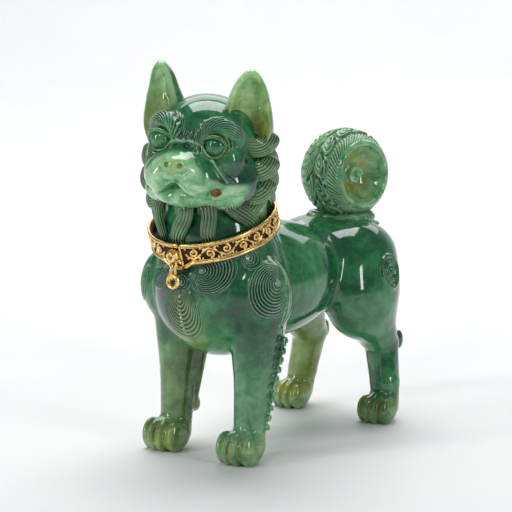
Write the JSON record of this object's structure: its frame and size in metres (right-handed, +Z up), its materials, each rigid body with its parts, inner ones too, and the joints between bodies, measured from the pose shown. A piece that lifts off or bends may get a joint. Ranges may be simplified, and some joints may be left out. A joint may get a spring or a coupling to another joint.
{
  "type": "guardian lion dog statue with opening collar",
  "caption": "Standing carved guardian lion dog in polished green stone, head turned, rolled tail, with a hinged gilt collar that opens and carries a hanging ring.",
  "frame": {"origin": "on the ground under the middle of the statue's overall length and width", "axes": "+Z up, the statue faces -Y, +X is the statue's own left"},
  "size_m": [0.062, 0.1277, 0.139],
  "materials": {
    "jade": "polished deep green jade, paler on the muzzle and paws",
    "jade_ear": "polished olive jade",
    "gilt": "gilt, polished wires over a darker recessed ground"
  },
  "bodies": {
    "statue": {"torso": "jade", "neck": "jade", "head": "jade", "left_ear": "jade_ear", "right_ear": "jade_ear", "left_eye": "jade", "right_eye": "jade", "left_mane": "jade", "right_mane": "jade", "front_left_leg": "jade", "front_right_leg": "jade", "hind_left_leg": "jade", "hind_right_leg": "jade", "tail_seat": "jade", "tail": "jade"},
    "collar_fixed_half": {"collar_right": "gilt", "right_upper_rim": "gilt", "right_lower_rim": "gilt", "boss": "gilt", "hinge_pin": "gilt"},
    "collar_gate": {"collar_left": "gilt", "left_upper_rim": "gilt", "left_lower_rim": "gilt", "clasp_tongue": "gilt"},
    "bail_link": {"bail": "gilt"},
    "ring_link": {"ring": "gilt"}
  },
  "joints": [
    {"name": "collar_turn", "type": "hinge", "parent": "statue", "child": "collar_fixed_half", "pos_m": [0, -0.0323, 0.082], "axis": [0, -0.309, 0.9511], "range_deg": [-12, 12]},
    {"name": "collar_hinge", "type": "hinge", "parent": "collar_fixed_half", "child": "collar_gate", "pos_m": [0, -0.009, 0.08957], "axis": [0, -0.309, 0.9511], "range_deg": [0, 70]},
    {"name": "bail_swing", "type": "hinge", "parent": "collar_fixed_half", "child": "bail_link", "pos_m": [0, -0.0549, 0.07015], "axis": [-1, 0, 0], "range_deg": [-4, 90]},
    {"name": "ring_swing", "type": "hinge", "parent": "bail_link", "child": "ring_link", "pos_m": [0, -0.0549, 0.06614], "axis": [0, 1, 0], "range_deg": [-30, 30]}
  ]
}
